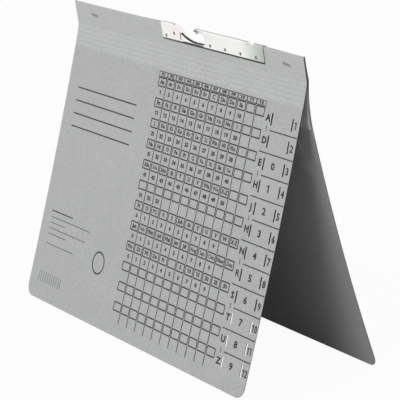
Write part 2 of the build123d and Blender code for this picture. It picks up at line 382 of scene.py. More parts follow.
# %% [markdown]
# ## Steel and ink
#
# Sheet steel is rolled, so it has very fine lines along its length.
# The staples are dull drawn wire and the fastener inside is plated. Bare steel is painted nearly
# black where shade falls, and the clinch points and the plate's right end are a darker grey, as
# painted shade and reflection.
# The ink is a thin dark grey film, a little uneven, as print on rough board is.
# The same film makes the dark lines of painted shade by the hook plate, and a lighter one the painted
# shade by the staples.

# %% Steel, ink and films of painted shade
ROLLED_PER_METRE = (60.0, 5200.0, 5200.0)
ROLLED_SHARE = 0.12
STAIN_PER_METRE = 45.0
STAIN_RANGE = (0.3, 0.7)
STAIN_SHARE = 0.93
FILM_PER_METRE = 900.0
FILM_RANGE = (0.25, 0.75)
FILM_SHARES = (1.35, 0.8)


def rolled(place, least):
    """The roughness of rolled steel, in very fine lines along its length."""
    return least + stretched_noise(place, ROLLED_PER_METRE) * ROLLED_SHARE


def steel_material(name, colour, roughness):
    material, shader, place = new_material(name)
    stain = noise(place, STAIN_PER_METRE).ramp(*STAIN_RANGE)
    tint = stain.mix(scaled(colour, STAIN_SHARE), scaled(colour, 1.0))
    finish = rolled(place, roughness - ROLLED_SHARE / 2)
    feed(shader, Base_Color=tint, Metallic=1.0, Roughness=finish)
    return material


def ink_material(name, grey):
    material, shader, place = new_material(name)
    cover = noise(place, FILM_PER_METRE).ramp(*FILM_RANGE)
    thin, full = [scaled([grey] * 3, share) for share in FILM_SHARES]
    feed(shader, Base_Color=cover.mix(thin, full), Roughness=0.75)
    feed(shader, Specular_IOR_Level=FAINT_SHINE)
    return material


wire_steel = steel_material("dull wire", (0.40, 0.395, 0.39), 0.5)
fastener_steel = steel_material("plated steel", (0.80, 0.80, 0.78), 0.35)
bare_steel_in_shade = steel_material("bare steel painted in shade", (0.025, 0.025, 0.024), 0.55)
painted_dark_steel = steel_material("steel painted dark", (0.25, 0.25, 0.245), 0.5)
ink_and_shade = ink_material("ink_and_shade", 0.04)
# A lighter film: painted shade along each staple's crown.
staple_shade_paint = ink_material("painted staple shade", 0.28)
print("four steels, an ink and the shade of a dent")

# %% [markdown]
# ## Cutting and folding a blank
#
# Each panel starts as one flat face. Its free corners are rounded, it is cut across
# where it has to bend, given the thickness of the board, and then laid along the line.
# The score lines are pressed in with a blunt rule, so both faces go in together.


# %% Finished pieces and flat blanks
def new_object(name, data):
    """An object that is linked into the scene."""
    made = bpy.data.objects.new(name, data)
    bpy.context.scene.collection.objects.link(made)
    return made


def finish_piece(name, bm, material):
    """Turns a finished bmesh into an object of the scene."""
    bmesh.ops.recalc_face_normals(bm, faces=bm.faces)
    mesh = bpy.data.meshes.new(name)
    bm.to_mesh(mesh)
    open_edges = sum(len(edge.link_faces) != 2 for edge in bm.edges)
    bm.free()
    piece = new_object(name, mesh)
    mesh.materials.append(material)
    print(name, "has", len(mesh.polygons), "faces and", open_edges, "open edges")
    return piece


def shift(bm, vec, verts=None):
    """Moves some or all vertices."""
    bmesh.ops.translate(bm, vec=vec, verts=verts or bm.verts)


def rectangle(left, right, top, bottom):
    """A bmesh with one flat face."""
    bm = bmesh.new()
    bmesh.ops.create_grid(bm, x_segments=1, y_segments=1, size=0.5)
    bmesh.ops.scale(bm, vec=(right - left, bottom - top, 1.0), verts=bm.verts)
    shift(bm, ((left + right) / 2, (top + bottom) / 2, 0.0))
    return bm


print("pieces start as rectangles")

# %% Round corners, soft edges and cuts
BEVEL = {"offset_type": "OFFSET", "profile": 0.5, "material": -1}
BLANK_NEAR = 1e-5


def round_corners(bm, corners, radius, segments):
    bmesh.ops.bevel(bm, geom=corners, offset=radius, affect="VERTICES", segments=segments, **BEVEL)


def round_edges(bm, edges, radius):
    kind = {"affect": "EDGES", "segments": 2, "clamp_overlap": True}
    bmesh.ops.bevel(bm, geom=edges, offset=radius, **kind, **BEVEL)


def cut(bm, place, normal, near=BLANK_NEAR, drop_outer=False):
    """Cuts along a plane; what lies on the side of its normal can be dropped."""
    everything = bm.verts[:] + bm.edges[:] + bm.faces[:]
    plane = {"plane_co": place, "plane_no": normal}
    bmesh.ops.bisect_plane(bm, geom=everything, dist=near, clear_outer=drop_outer, **plane)


def cut_across(bm, places):
    for place in places:
        cut(bm, (0.0, place, 0.0), (0.0, 1.0, 0.0))


def steps_between(first, last, size):
    count = max(1, round((last - first) / size))
    return [first + (last - first) * step / count for step in range(count + 1)]


print("blanks can be cut")

# %% Give a blank its thickness, press its score lines and fold it
PRESSED = 0.13
PRESS_WIDTH = 0.55
PRESS_CUTS = (-1.0, -0.6, -0.2, 0.2, 0.6, 1.0)
EDGE_ROUND = 0.07
RIM_ANGLE = math.radians(60)
ON_SEAM = 1e-3
SAME_PLACE = 1e-4


def cut_score(bm, score):
    """Cuts a blank finely where a score line will be pressed in."""
    cut_across(bm, [score + share * PRESS_WIDTH for share in PRESS_CUTS])


def pressed(place):
    """How far the board is pressed in at a place."""
    nearest = min(abs(place - score) for score in SCORES)
    return PRESSED * max(0.0, 1.0 - (nearest / PRESS_WIDTH) ** 2)


def thicken_and_fold(bm, line, seams):
    """Board thickness, softened cut edges except at the seams, pressed scores, and the fold."""
    bmesh.ops.solidify(bm, geom=bm.faces[:], thickness=BOARD)
    middle = sum(v.co.z for v in bm.verts) / len(bm.verts)
    shift(bm, (0.0, 0.0, -middle))

    def on_seam(edge):
        return any(all(abs(v.co.y - seam) < ON_SEAM for v in edge.verts) for seam in seams)

    def on_rim(edge):
        sharp = edge.is_manifold and edge.calc_face_angle() > RIM_ANGLE
        return sharp and abs(edge.verts[0].co.z - edge.verts[1].co.z) < SAME_PLACE

    rims = [edge for edge in bm.edges if on_rim(edge) and not on_seam(edge)]
    round_edges(bm, rims, EDGE_ROUND)
    for v in bm.verts:
        v.co.z += pressed(v.co.y)
        v.co = line.at(v.co)


print("board is", BOARD, "mm thick")

# %% [markdown]
# ## The panels at the creases
#
# Real board is one sheet. Here it is split halfway between the score lines,
# where it is flat and no seam shows, so that every piece crosses one crease only.

# %% Crease and score pieces
STRIPS = ["front_strip_1", "front_strip_2", "front_strip_3", "front_strip_4"]
CREASES = [CREASE] + FOLDING_SCORES
SEAM_BAND = 16.0
SEAMS = [SEAM_BAND] + [(above + below) / 2 for above, below in zip(CREASES, SCORES)]
BACK_SEAM = SEAMS[1]
BEND_REACH = 1.1
FINE_REACH = 1.7
FINE = 0.18


def crease_piece(name, line, crease, first, last):
    bm = rectangle(-WIDTH / 2, WIDTH / 2, first, last)
    fine_from = max(first, crease - FINE_REACH)
    fine_to = min(last, crease + FINE_REACH)
    cut_across(bm, steps_between(fine_from, fine_to, FINE)[1:-1])
    thicken_and_fold(bm, line, (first, last))
    return finish_piece(name, bm, cover_board)


def bend_at(piece, line, crease):
    start = line.middle(crease - BEND_REACH)
    end = line.middle(crease + BEND_REACH)
    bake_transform(piece)


for index, crease in enumerate(CREASES):
    piece_name = "front_crease_board" if index == 0 else f"score_line_{index}_board"
    piece = crease_piece(piece_name, front_line, crease, SEAMS[index], SEAMS[index + 1])
    bend_at(piece, front_line, crease)
    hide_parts(*STRIPS[max(index - 1, 0):index + 1])

piece = crease_piece("back_crease_board", back_line, CREASE, SEAM_BAND, BACK_SEAM)
bend_at(piece, back_line, CREASE)

# %% [markdown]
# ## The covers
#
# The front cover has two columns of narrow slits for plastic tabs, punched right through.
# Cutting the flat face along all slit edges leaves one small face for each slit, which is taken out.
# The back cover is plain, with the same score lines.

# %% The front cover
CORNER = 9.0
CORNER_STEPS = 14
SLIT_COLUMNS = [WIDTH / 2 - inset for inset in (33.2, 8.4)]
SLIT_FIRST = 44.2
SLIT_PITCH = 15.75
SLIT_ROWS = 12
SLIT_LENGTH = 8.7
SLIT_WIDTH = 1.5
slit_tops = [SLIT_FIRST + row * SLIT_PITCH for row in range(SLIT_ROWS)]


def in_slit(face):
    middle = face.calc_center_median()
    across = any(abs(middle.x - column) < SLIT_WIDTH / 2 for column in SLIT_COLUMNS)
    return across and any(0.0 < middle.y - top < SLIT_LENGTH for top in slit_tops)


def cover_blank(first):
    bm = rectangle(-WIDTH / 2, WIDTH / 2, first, HEIGHT)
    lower_corners = [v for v in bm.verts if v.co.y > HEIGHT / 2]
    round_corners(bm, lower_corners, CORNER, CORNER_STEPS)
    return bm


bm = cover_blank(SEAMS[-1])
cut_score(bm, SCORES[-1])
cut_across(bm, [top + edge for top in slit_tops for edge in (0.0, SLIT_LENGTH)])
for column in SLIT_COLUMNS:
    for side in (-0.5, 0.5):
        cut(bm, (column + side * SLIT_WIDTH, 0.0, 0.0), (1.0, 0.0, 0.0))
slit_faces = [face for face in bm.faces if in_slit(face)]
print("slits punched:", len(slit_faces))
bmesh.ops.delete(bm, geom=slit_faces, context="FACES")
thicken_and_fold(bm, front_line, (SEAMS[-1],))
front_cover = finish_piece("front_cover_board", bm, cover_board)
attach(front_cover, "front")
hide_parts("front_cover")

# %% The back cover
ROLL_CUTS = (43.0, roll_end, 1.5)
BOW_CUTS = (60.0, 230.0, 6.0)

bm = cover_blank(BACK_SEAM)
for score in SCORES:
    cut_score(bm, score)
cut_across(bm, steps_between(*ROLL_CUTS) + steps_between(*BOW_CUTS))
thicken_and_fold(bm, back_line, (BACK_SEAM,))
back_cover = finish_piece("back_cover_board", bm, cover_board)
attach(back_cover, "back")
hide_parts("back_cover")

# %% [markdown]
# ## Pieces that keep their CAD shape
#
# The folded band, the hook plate, the staples and the fastener have nearly the right shape already.
# A copy is merged to one skin. On the steel and the filing strip its edges are softened a little,
# because they never end in a perfect knife edge and the softened edge catches the light.

# %% Copies of CAD nodes
SKIN_MERGE = 2e-6
SKIN_NEAR = 1e-7
FLAT_ANGLE = math.radians(0.4)
SOFT_ANGLE = math.radians(40)
SMOOTH_ANGLE = math.radians(35)


def cad_skin(node):
    """A merged copy of a CAD node, with flat areas as single faces."""
    bm = bmesh.new()
    bm.from_mesh(frame["nodes"][node].data)
    bmesh.ops.remove_doubles(bm, verts=bm.verts, dist=SKIN_MERGE)
    bmesh.ops.dissolve_limit(bm, angle_limit=FLAT_ANGLE, verts=bm.verts, edges=bm.edges)
    return bm


def soften(bm, radius):
    sharp = [e for e in bm.edges if e.is_manifold and e.calc_face_angle() > SOFT_ANGLE]
    round_edges(bm, sharp, radius * MM)


def fill_holes(bm):
    bmesh.ops.holes_fill(bm, edges=[edge for edge in bm.edges if edge.is_boundary], sides=0)


def smooth(piece):
    """Smooth shading, with sharp edges left sharp."""
    piece.data.shade_smooth()
    piece.data.set_sharp_from_angle(angle=SMOOTH_ANGLE)


def cad_piece(name, node, body, material, slot, radius, reshape=None):
    bm = cad_skin(node)
    if reshape:
        reshape(bm)
    if radius:
        soften(bm, radius)
    piece = finish_piece(name, bm, material)
    smooth(piece)
    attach(piece, body)
    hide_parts(node)


print("CAD nodes can be copied")

# %% Places on the band
tilt = math.radians(TILT)
band_top = front_line.middle(0.0)
band_down = Vector((0.0, math.sin(tilt), -math.cos(tilt)))
band_out = Vector((0.0, band_down.z, -band_down.y))


def on_band(point):
    """Across, drop from the fold and distance out from the front leaf's middle, in millimetres."""
    away = point - band_top
    return point.x / MM, away.dot(band_down) / MM, away.dot(band_out) / MM


print("the fold is", round(band_top.z / MM, 1), "mm above the floor")

# %% [markdown]
# The hook plate holds the fold open. Past its ends nothing does, so there the two leaves
# come together, and the fold ends in a narrow slit. The staples, which hold the leaves, follow.

# %% How the fold closes
FOLD_RADIUS = 1.1
PLATE_ENDS = (-26.0, 110.2)
CLOSING_RUN = 40.0
CLOSING = 1.4
CLOSING_POWER = 1.5
ARCH_DROP = 3.0


def closed(point):
    """Where a point of the band goes when the back leaf comes forward past the plate's ends."""
    across, drop, out = on_band(point)
    past = max(PLATE_ENDS[0] - across, across - PLATE_ENDS[1], 0.0) / CLOSING_RUN
    share = math.sin(min(past, 1.0) * math.pi / 2) ** 2
    upper = 1.0 - clamp(drop / SEAM_BAND) ** CLOSING_POWER
    narrowing = max(drop - FOLD_RADIUS, 0.0) * math.tan(math.radians(LEAN))
    gap = 2 * FOLD_RADIUS - BOARD - narrowing
    leaves = clamp((-out - BOARD / 2) / gap)
    arch = (-out + BOARD / 2) / (2 * FOLD_RADIUS + BOARD)
    in_arch = 1.0 - clamp(drop / ARCH_DROP)
    inward = leaves + (arch - leaves) * in_arch
    return point + band_out * (CLOSING * share * upper * inward * MM)


print("the fold closes by up to", CLOSING, "mm")

# %% The band and its staples
DROP_STEP = 2.5
ACROSS_STEP = 5.0
STAPLE_TURN = math.radians(5.0)
STAPLE_SOFT = 0.1


def shape_band(bm):
    """Ends the band at its seam, cuts it across so that it can bend, and closes its ends."""
    cut(bm, front_line.middle(SEAM_BAND), band_down, SKIN_NEAR, drop_outer=True)
    fill_holes(bm)
    for drop in steps_between(FOLD_RADIUS, SEAM_BAND, DROP_STEP)[:-1]:
        cut(bm, front_line.middle(drop), band_down, SKIN_NEAR)
    for past in steps_between(0.0, CLOSING_RUN, ACROSS_STEP):
        for across in (PLATE_ENDS[0] - past, PLATE_ENDS[1] + past):
            cut(bm, (across * MM, 0.0, 0.0), (1.0, 0.0, 0.0), SKIN_NEAR)
    for v in bm.verts:
        v.co = closed(v.co)


def shape_staple(bm):
    """Turns a staple a little more level with the fold, and bends its legs with the leaves."""
    middle = sum((v.co for v in bm.verts), Vector()) / len(bm.verts)
    turn = Matrix.Rotation(STAPLE_TURN, 3, band_out)
    bmesh.ops.rotate(bm, cent=middle, matrix=turn, verts=bm.verts)
    for v in bm.verts:
        v.co = closed(v.co)


cad_piece("band_board", "top_band", "band", cover_board, "grey_board", 0.0, shape_band)
for side in ("left", "right"):
    staple = f"{side}_staple"
    steel = (wire_steel, "staple_wire", STAPLE_SOFT)
    cad_piece(f"{staple}_wire", staple, "band", *steel, shape_staple)

# %% The filing strip and the paper fastener
STRIP_SOFT = 0.05
FASTENER_SOFT = 0.03

steel = (fastener_steel, "fastener_steel", FASTENER_SOFT)
for side in ("left", "right"):
    cad_piece(f"{side}_lock_steel", f"{side}_lock", f"{side}_slider", *steel)
cad_piece("filing_strip_board", "filing_strip", "back", filing_board, "strip_board", STRIP_SOFT)
cad_piece("prong_strip_steel", "prong_strip", "back", *steel)
cad_piece("cover_bar_steel", "cover_bar", "back", *steel)

# %% [markdown]
# ## The hook plate
#
# The plate is stamped from steel that was plated first, so its cut lower edges are bare; they are
# painted dark as shade.
# The clinch points that hold it to the board are painted a darker grey, as shade and dark reflection.
# The CAD plate has its tongue, under the hook's seat, as a flat sheet. On the real plate it curls
# away from the leaf at its lower edge, so it is taken off the copy and made again here.
# Along the ramp, under the seat and in the notch, narrow turned-in flanges join the two leaves.

# %% Sizes of the plate
STEEL = 0.5
PLATE_GAP = 0.05
FACE_OUT = BOARD / 2 + PLATE_GAP + STEEL
TONGUE_LEFT = 0.4
TONGUE_RIGHT = 32.0
PLATE_DROP = 12.0

print("the plate's face is", FACE_OUT, "mm out from the middle of the leaf")

# %% [markdown]
# The lower rim and the crown of the fold are darker, as painted shade and reflection. The beak is
# painted greyer towards its point as shade, the ramp has a faint warm cast, and the right end is dull
# and greenish, a painted reflection of something dark.
# Each is a mask between 0 and 1, from the place across and the drop, and mixes in its own colour.

# %% Painted shade and reflection on the plate, and a warm cast
BRIGHT = (0.93, 0.93, 0.91, 1.0)
WARM = (0.93, 0.88, 0.88, 1.0)
WARM_RISE = (-22.0, -8.0)
WARM_FALL = (-2.0, 6.0)
DARK_REFLECTION = (0.47, 0.53, 0.47, 1.0)
DARK_REFLECTION_RISE = (78.0, 113.0)
DARK_REFLECTION_PER_METRE = 160.0
DARK_REFLECTION_WANDER = 12.0
BEAK_SHADE = (0.36, 0.36, 0.35, 1.0)
BEAK_RISE = (15.0, 20.0)
BEAK_FALL = (21.5, 26.0)
BEAK_SLOPE = 1.2
BEAK_DROP = (5.0, 7.0)
CROWN_SHADE = (0.24, 0.24, 0.235, 1.0)
CROWN_DROP = (-0.75, -0.62)
RIM_SHADE = (0.06, 0.06, 0.055, 1.0)
RIM_DROP = (11.0, 11.2)
PLATE_ROUGHNESS = 0.24


def plate_material(name):
    material, shader, place = new_material(name)
    across = place.along("X") * (1.0 / MM)
    settings = {"operation": "DOT_PRODUCT"}
    lowered = place.node("ShaderNodeVectorMath", settings, {0: place, 1: band_down}, output="Value")
    drop = lowered * (1.0 / MM) - band_top.dot(band_down) / MM
    wander = (noise(place, DARK_REFLECTION_PER_METRE) - 0.5) * DARK_REFLECTION_WANDER
    before_beak = 1.0 - (across - drop * BEAK_SLOPE).ramp(*BEAK_FALL)
    beak = before_beak * across.ramp(*BEAK_RISE) * (1.0 - drop.ramp(*BEAK_DROP))
    # The beak, crown and rim masks paint shade, and the right end's mask paints a dark reflection.
    masks = [
        (between(across, WARM_RISE, WARM_FALL), WARM),
        ((across + wander).ramp(*DARK_REFLECTION_RISE), DARK_REFLECTION),
        (beak, BEAK_SHADE),
        (1.0 - drop.ramp(*CROWN_DROP), CROWN_SHADE),
        (drop.ramp(*RIM_DROP), RIM_SHADE),
    ]
    tint = BRIGHT
    for mask, colour in masks:
        tint = mask.mix(tint, colour)
    feed(shader, Base_Color=tint, Metallic=1.0, Roughness=rolled(place, PLATE_ROUGHNESS))
    # These places are painted shade and reflection.
    print("worn places on the plate:", len(masks))
    return material


plate_steel = plate_material("bright plated steel")

# %% The plate without its tongue
PLATE_SOFT = 0.1
TONGUE_MARGIN = 0.05
HAIR = 0.02

plate_bm = cad_skin("hook_plate")
cut(plate_bm, front_line.at(Vector((0.0, 0.0, -FACE_OUT))), band_out, SKIN_NEAR)


def on_tongue(face):
    across, drop, out = on_band(face.calc_center_median())
    beside = TONGUE_LEFT - TONGUE_MARGIN < across < TONGUE_RIGHT + TONGUE_MARGIN
    below = out > FACE_OUT - HAIR and drop > PLATE_DROP + HAIR / 2
    return beside and (out > FACE_OUT + HAIR or below)


tongue_faces = [face for face in plate_bm.faces if on_tongue(face)]
bmesh.ops.delete(plate_bm, geom=tongue_faces, context="FACES")
fill_holes(plate_bm)
soften(plate_bm, PLATE_SOFT)
print("faces taken off:", len(tongue_faces))


# %% Tools for sheet steel
def free_to_mesh(bm, name):
    mesh = bpy.data.meshes.new(name)
    bm.to_mesh(mesh)
    bm.free()
    return mesh


def lay_on_front(bm):
    """Takes a flat drawing, in millimetres, to its place on the front."""
    for v in bm.verts:
        v.co = front_line.at(v.co)


def add_shell(shell):
    """Lays a flat-built shell along the band and adds it to the plate."""
    lay_on_front(shell)
    bmesh.ops.recalc_face_normals(shell, faces=shell.faces)
    mesh = free_to_mesh(shell, "shell")
    plate_bm.from_mesh(mesh)
    bpy.data.meshes.remove(mesh)


def moved(result):
    """The vertices among what an operator gives back."""
    return [item for item in result["geom"] if isinstance(item, bmesh.types.BMVert)]


def push_out(bm, vec):
    """Thickens the faces of a bmesh by pushing a copy of them out."""
    shift(bm, vec, moved(bmesh.ops.extrude_face_region(bm, geom=bm.faces[:])))


def max_z(bm):
    return max(v.co.z for v in bm.verts)


def swept_edge(start, centre, angle, steps):
    """A curved edge: a point turned about a centre, both across and down."""
    bm = bmesh.new()
    first = bm.verts.new((*start, 0.0))
    turn = {"cent": (*centre, 0.0), "axis": (0.0, 0.0, 1.0), "angle": math.radians(angle)}
    bmesh.ops.spin(bm, geom=[first], steps=steps, **turn)
    return bm, first


print("sheet steel can be bent")

# %% A new tongue under the seat
SEAT_LOW = (21.8, 9.9)
SEAT_RADIUS = 39.74
SEAT_CENTRE = (SEAT_LOW[0], SEAT_LOW[1] - SEAT_RADIUS)
SEAT_ANGLE = 30.2
POCKET_X = 30.2
TONGUE_STEPS = 12
TONGUE_END = [(26.0, SEAT_LOW[1]), (POCKET_X, SEAT_LOW[1]), (TONGUE_RIGHT, 9.48)]
TONGUE_BOTTOM = 10.2
TONGUE_CUTS = 5
CURL_FROM = 6.5
TONGUE_CURL = 0.2

bm, last = swept_edge(SEAT_LOW, SEAT_CENTRE, SEAT_ANGLE, TONGUE_STEPS)
for place in TONGUE_END:
    after = bm.verts.new((*place, 0.0))
    bm.edges.new((last, after))
    last = after
for v in moved(bmesh.ops.extrude_edge_only(bm, edges=bm.edges[:])):
    v.co.y = TONGUE_BOTTOM
upright = [e for e in bm.edges if abs(e.verts[0].co.x - e.verts[1].co.x) < SAME_PLACE]
bmesh.ops.subdivide_edges(bm, edges=upright, cuts=TONGUE_CUTS)
bmesh.ops.recalc_face_normals(bm, faces=bm.faces)
bmesh.ops.solidify(bm, geom=bm.faces[:], thickness=STEEL)
nearest = max_z(bm)
for v in bm.verts:
    low = max(0.0, (v.co.y - CURL_FROM) / (TONGUE_BOTTOM - CURL_FROM))
    v.co.z += -nearest - FACE_OUT - TONGUE_CURL * low ** 2
print("the tongue has", len(bm.faces), "faces")
add_shell(bm)

# %% Flanges at the ramp and under the seat
RAMP_END = (1.8, 4.5)
RAMP_CENTRE = (-10.96, 19.98)
RAMP_ANGLE = -36.0
RAMP_STEPS = 10
SEAT_STEPS = 16
SEAT_STRIPS = 8
SEAT_DEEPER = 0.1
SEAT_END = (POCKET_X + 1.5, SEAT_LOW[1] - 0.2)
FLANGE = 0.4
FLANGE_FROM = -0.3
FLANGE_SPAN = 2.55
ON_RIM = 1e-5


def turned_in(edge, strips, low):
    """A flange from leaf to leaf under a curved edge, in a few strips, as a closed shell."""
    for strip in range(strips):
        deepest = max_z(edge)
        rim = [e for e in edge.edges if all(abs(v.co.z - deepest) < ON_RIM for v in e.verts)]
        deeper = bmesh.ops.extrude_edge_only(edge, edges=rim)
        shift(edge, (0.0, 0.0, FLANGE_SPAN / strips), moved(deeper))
    push_out(edge, (0.0, FLANGE, 0.0))
    shift(edge, (0.0, low, FLANGE_FROM))
    print("a flange of", len(edge.faces), "faces")
    add_shell(edge)


ramp_edge = swept_edge(RAMP_END, RAMP_CENTRE, RAMP_ANGLE, RAMP_STEPS)[0]
turned_in(ramp_edge, 1, 0.0)
seat_edge, seat_low = swept_edge(SEAT_LOW, SEAT_CENTRE, SEAT_ANGLE, SEAT_STEPS)
seat_edge.edges.new((seat_low, seat_edge.verts.new((*SEAT_END, 0.0))))
turned_in(seat_edge, SEAT_STRIPS, SEAT_DEEPER)

# %% A plug and a floor in the notch, and the whole plate
NOTCH = (89.4, 97.3, 1.75)
PLUG_RADIUS = 1.42
PLUG_SEGMENTS = 24

bm = bmesh.new()
bmesh.ops.create_circle(bm, cap_ends=True, radius=PLUG_RADIUS, segments=PLUG_SEGMENTS)
bmesh.ops.rotate(bm, matrix=Matrix.Rotation(math.pi / 2, 3, "Y"), verts=bm.verts)
push_out(bm, (-FLANGE, 0.0, 0.0))
shift(bm, (NOTCH[0] + HAIR / 2, FOLD_RADIUS, FOLD_RADIUS))
add_shell(bm)

bm = rectangle(NOTCH[0], NOTCH[1], NOTCH[2] + HAIR, NOTCH[2] + FLANGE)
push_out(bm, (0.0, 0.0, FLANGE_SPAN))
shift(bm, (0.0, 0.0, FLANGE_FROM))
add_shell(bm)

hook_plate = finish_piece("hook_plate_steel", plate_bm, plate_steel)
smooth(hook_plate)
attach(hook_plate, "band")
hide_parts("hook_plate")

# %% Painted shade on bare edges, the seat and the clinch points
PLATED, BARE_IN_SHADE, PAINTED_DARK = range(3)
FACING = 0.5
END_FACING = 0.6
END_REACH = 0.3
STUD_RISE = 0.04
STUD_MARGIN = 0.1
SEAT_TOP = 4.6
SEAT_PAST = 4.0
SEAT_SHADE_REACH = 1.15
SEAT_WIDENING = 0.07


def finish_of(face):
    """Which of the plate's finishes a face has: plated, bare steel painted nearly black as shade, or
    steel painted darker grey as shade and reflection.
    """
    across, drop, out = on_band(face.center)
    facing_down = face.normal.dot(band_down)
    raised = out > FACE_OUT + STUD_RISE
    stud = raised and (across < TONGUE_LEFT or across > TONGUE_RIGHT + STUD_MARGIN)
    right_end = face.normal.x > END_FACING and across > PLATE_ENDS[1] - END_REACH
    over_seat = drop > SEAT_TOP and RAMP_END[0] < across < POCKET_X + SEAT_PAST
    on_seat = facing_down < -FACING and over_seat
    seat_in_shade = on_seat and out > FACE_OUT - SEAT_SHADE_REACH - across * SEAT_WIDENING
    tongue_side = face.normal.x < -FACING and raised
    if facing_down > FACING or seat_in_shade or tongue_side:
        return BARE_IN_SHADE
    return PAINTED_DARK if stud or right_end else PLATED


# Faces that look down, the seat and the tongue's left side are painted nearly black, as shade.
hook_plate.data.materials.append(bare_steel_in_shade)
hook_plate.data.materials.append(painted_dark_steel)
# The clinch points and the right end get the darker grey steel, painted shade and reflection.
for face in hook_plate.data.polygons:
    face.material_index = finish_of(face)
finishes = [face.material_index for face in hook_plate.data.polygons]
print("plated, bare and worn faces:", [finishes.count(kind) for kind in (PLATED, BARE_IN_SHADE, PAINTED_DARK)])

# %% [markdown]
# The tongue was cut loose along its left side; a dark line of painted shade lies along that side,
# and another on the steel under the tongue, where no light gets in. A third, on the board just below
# the plate's lower edge, is the plate's painted shadow. All three are thin dark films, a hair above
# what they lie on.

# %% Dark lines of painted shade around the plate
FILM_LIFT = 0.02
films = [
    ("plate_shadow_line", (-25.0, 110.3, 12.05, 12.6), BOARD / 2, "grey_board"),
    ("tongue_slit_shade", (-0.2, 0.95, 4.3, 10.0), FACE_OUT, "plated_steel"),
    ("tongue_under_shade", (2.5, 31.0, 9.9, 11.4), FACE_OUT, "plated_steel"),
]

for film_name, sides, out, slot in films:
    bm = rectangle(*sides)
    shift(bm, (0.0, 0.0, -out - FILM_LIFT))
    lay_on_front(bm)
    dark_line = finish_piece(film_name, bm, ink_and_shade)
    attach(dark_line, "band")

# %% [markdown]
# Along each staple's crown lies a flat grey film of painted shade, as from the dent a hard-driven
# staple leaves; the board has no dent.

# %% Painted shade under the staples
STAPLES = {"left": -129.5, "right": 137.04}
STAPLE_DROP = 8.3
STAPLE_SKEW = math.radians(6.0)
STAPLE_SHADE_SIZE = (9.4, 2.2)
STAPLE_SHADE_ROUND = 0.45
STAPLE_SHADE_STEPS = 6

for side, across in STAPLES.items():
    bm = rectangle(-STAPLE_SHADE_SIZE[0] / 2, STAPLE_SHADE_SIZE[0] / 2, -STAPLE_SHADE_SIZE[1] / 2, STAPLE_SHADE_SIZE[1] / 2)
    round_corners(bm, bm.verts[:], STAPLE_SHADE_SIZE[1] * STAPLE_SHADE_ROUND, STAPLE_SHADE_STEPS)
    bmesh.ops.rotate(bm, matrix=Matrix.Rotation(STAPLE_SKEW, 3, "Z"), verts=bm.verts)
    shift(bm, (across, STAPLE_DROP, -BOARD / 2 - FILM_LIFT))
    lay_on_front(bm)
    staple_shade_film = finish_piece(f"{side}_staple_shade", bm, staple_shade_paint)
    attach(staple_shade_film, "band")

# %% [markdown]
# ## The print
#
# The front is printed with a table of boxes to tick, rules to write on, and marks for the tab slits.
# It is drawn flat, in millimetres, from a few stamps: a rule, a box, a ring, and plain numbers
# and letters. Then the whole drawing is laid along the same line as the cover, a hair outside it.

# %% Stamps for rules, boxes and rings
print_bm = bmesh.new()
TURN_OVER = Matrix.Rotation(math.pi, 4, "X")
BOX_STEPS = 4


def stamp(mesh, across, drop):
    """Adds a copy of a flat stamp to the drawing, facing out."""
    before = len(print_bm.verts)
    print_bm.from_mesh(mesh)
    print_bm.verts.ensure_lookup_table()
    place = Matrix.Translation((across, drop, -BOARD / 2 - FILM_LIFT)) @ TURN_OVER
    bmesh.ops.transform(print_bm, matrix=place, verts=print_bm.verts[before:])


def rule(left, right, drop, thickness):
    mesh = free_to_mesh(rectangle(left, right, -thickness / 2, thickness / 2), "rule")
    stamp(mesh, 0.0, drop)
    bpy.data.meshes.remove(mesh)


def tick(across, top, bottom, thickness):
    rule(across - thickness / 2, across + thickness / 2, (top + bottom) / 2, bottom - top)


def rim_stamp(bm, line, name):
    """Keeps only a line along the edge of a flat face."""
    inner = bm.faces[:]
    bmesh.ops.inset_region(bm, faces=inner, thickness=line, use_boundary=True, use_even_offset=True)
    bmesh.ops.delete(bm, geom=inner, context="FACES")
    return free_to_mesh(bm, name)


def box_stamp(width, height, radius, line):
    """An outlined box, around its middle."""
    bm = rectangle(-width / 2, width / 2, -height / 2, height / 2)
    if radius:
        round_corners(bm, bm.verts[:], radius, BOX_STEPS)
    return rim_stamp(bm, line, "box")


print("stamps: rule, tick and box")

# %% Stamps with an outline of their own
STEM_HALF = 0.049
STEM_TOP = 0.382
STEM_BOTTOM = -0.3
FLAG_REACH = 0.2
FLAG_FALL = 0.11
FLAG_WEIGHT = 1.7
M_SIDE = 0.3
M_VALLEY = 0.33
M_WEIGHT = 1.5


def outline_stamp(outline, squeeze, name):
    bm = bmesh.new()
    bm.faces.new([bm.verts.new((x * squeeze, y, 0.0)) for x, y in outline])
    return free_to_mesh(bm, name)


def stem_of(size, weight):
    """Half the width of an upright stroke, its top and its bottom."""
    return STEM_HALF * size + weight, STEM_TOP * size + weight, STEM_BOTTOM * size - weight


def one_stamp(size, squeeze, weight):
    """The numeral one: a stem with a flag, which the plain letters lack."""
    half, top, bottom = stem_of(size, weight)
    left = -half - FLAG_REACH * size
    fall = FLAG_FALL * size
    under = half * FLAG_WEIGHT
    outline = [
        (half, bottom), (half, top), (0.0, top), (left, top - fall),
        (left, top - fall - under), (-half, top - under), (-half, bottom),
    ]
    return outline_stamp(outline, squeeze, "one")


def m_stamp(size, squeeze, weight):
    """The letter M: the plain letter's narrow gaps fill up when its strokes are made bolder."""
    half, top, bottom = stem_of(size, weight)
    side = M_SIDE * size + weight
    inner = side - 2 * half
    valley = bottom + (top - bottom) * M_VALLEY
    fall = 2 * half * M_WEIGHT
    outline = [
        (-side, bottom), (-inner, bottom), (-inner, top - fall), (0.0, valley - fall / 2),
        (inner, top - fall), (inner, bottom), (side, bottom), (side, top), (inner, top),
        (0.0, valley + fall / 2), (-inner, top), (-side, top),
    ]
    return outline_stamp(outline, squeeze, "letter")


